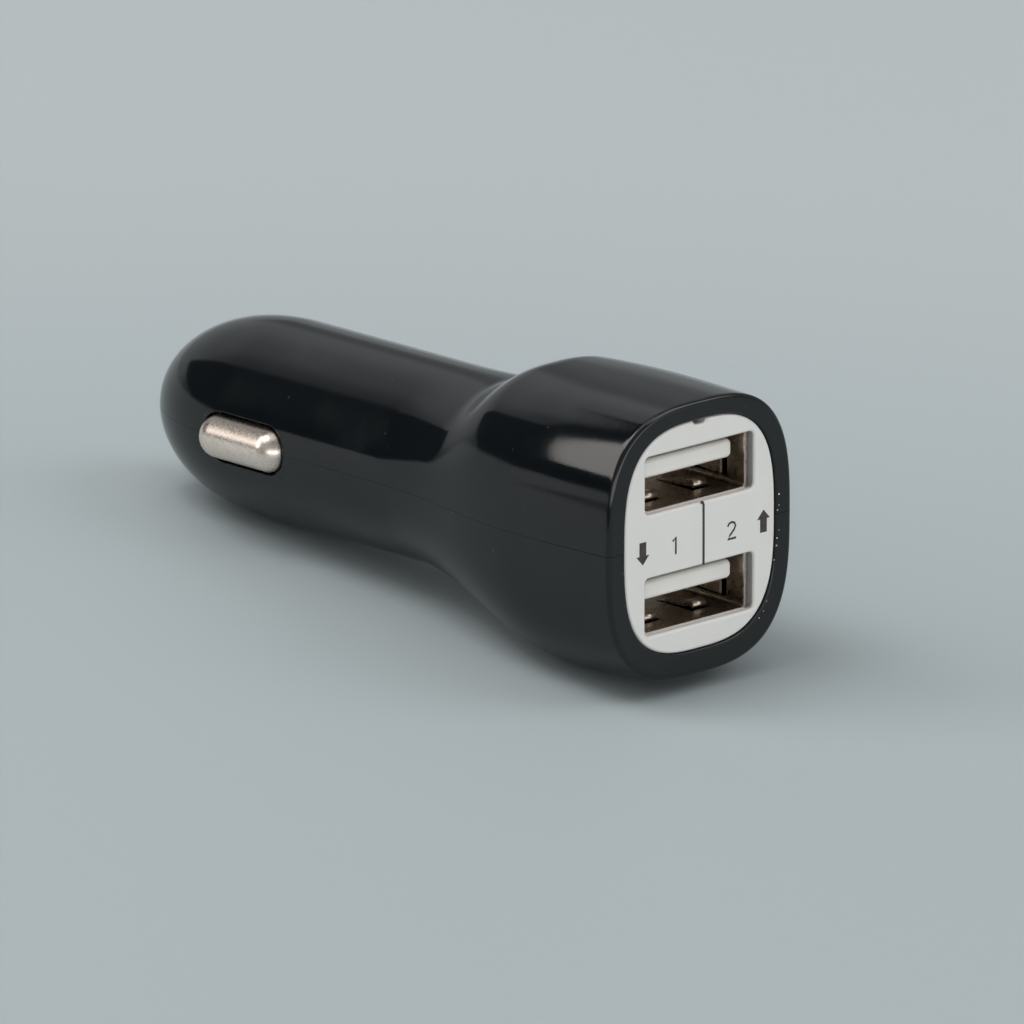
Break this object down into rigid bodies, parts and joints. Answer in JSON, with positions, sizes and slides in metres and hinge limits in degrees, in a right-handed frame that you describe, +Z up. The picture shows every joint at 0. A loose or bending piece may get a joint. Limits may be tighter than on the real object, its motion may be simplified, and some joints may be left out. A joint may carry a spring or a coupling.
{
  "type": "twin-port car usb charger plug",
  "caption": "Black car socket charger plug with a round domed barrel, sprung tip and side contacts, and a squarish head with stacked USB ports.",
  "frame": {"origin": "middle of the bounding box at the surface the plug lies on", "axes": "+X towards the port face, nearly along the plug's own axis; +Y across it; +Z up. The plug lies at rest, so its own axis dips 5.56 degrees from the face down to the nose"},
  "size_m": [0.0702, 0.0238, 0.0269],
  "materials": {
    "black_gloss": "glossy moulded black",
    "pale_gloss": "satin-gloss moulded off-white",
    "can_metal": "nickel-plated sheet steel",
    "white_insulator": "moulded white insulator",
    "gold_contact": "gold-flashed contact strip",
    "board_green": "circuit board with green mask",
    "component_black": "moulded black package",
    "ferrite": "sintered ferrite core",
    "capacitor_sleeve": "sleeved aluminium can",
    "ceramic_tan": "ceramic body with tinned ends",
    "warm_nickel": "nickel plate with a warm tone",
    "spring_steel": "plated spring steel",
    "brass_seat": "plated brass",
    "carrier_nylon": "moulded dark nylon"
  },
  "bodies": {
    "housing": {"upper_shell": "black_gloss", "lower_shell": "black_gloss", "face_plate": "pale_gloss", "port_can_upper": "can_metal", "port_can_lower": "can_metal", "tongue_upper": "white_insulator", "tongue_lower": "white_insulator", "strips_upper": "gold_contact", "strips_lower": "gold_contact", "port_board": "board_green", "main_board": "board_green", "converter_chip": "component_black", "inductor": "ferrite", "input_capacitor": "capacitor_sleeve", "output_capacitor": "capacitor_sleeve", "diode": "component_black", "small_parts": "ceramic_tan", "tip_spring": "spring_steel", "tip_seat": "brass_seat", "carrier": "carrier_nylon", "ground_clip": "spring_steel", "side_spring_left": "spring_steel", "side_spring_right": "spring_steel"},
    "tip": {"tip_pin": "warm_nickel"},
    "contact_left": {"side_contact_left": "warm_nickel"},
    "contact_right": {"side_contact_right": "warm_nickel"}
  },
  "joints": [
    {"name": "press_tip", "type": "slide", "parent": "housing", "child": "tip", "axis": [0.9953, 0, 0.0969], "range_m": [0, 0.0024], "stiffness_N_per_m": 900, "springref_m": -0.001, "deforming": ["tip_spring"]},
    {"name": "press_left", "type": "slide", "parent": "housing", "child": "contact_left", "axis": [0, -1, 0], "range_m": [0, 0.00165], "stiffness_N_per_m": 600, "springref_m": -0.0006, "deforming": ["side_spring_left"]},
    {"name": "press_right", "type": "slide", "parent": "housing", "child": "contact_right", "axis": [0, 1, 0], "range_m": [0, 0.00165], "stiffness_N_per_m": 600, "springref_m": -0.0006, "deforming": ["side_spring_right"]}
  ]
}
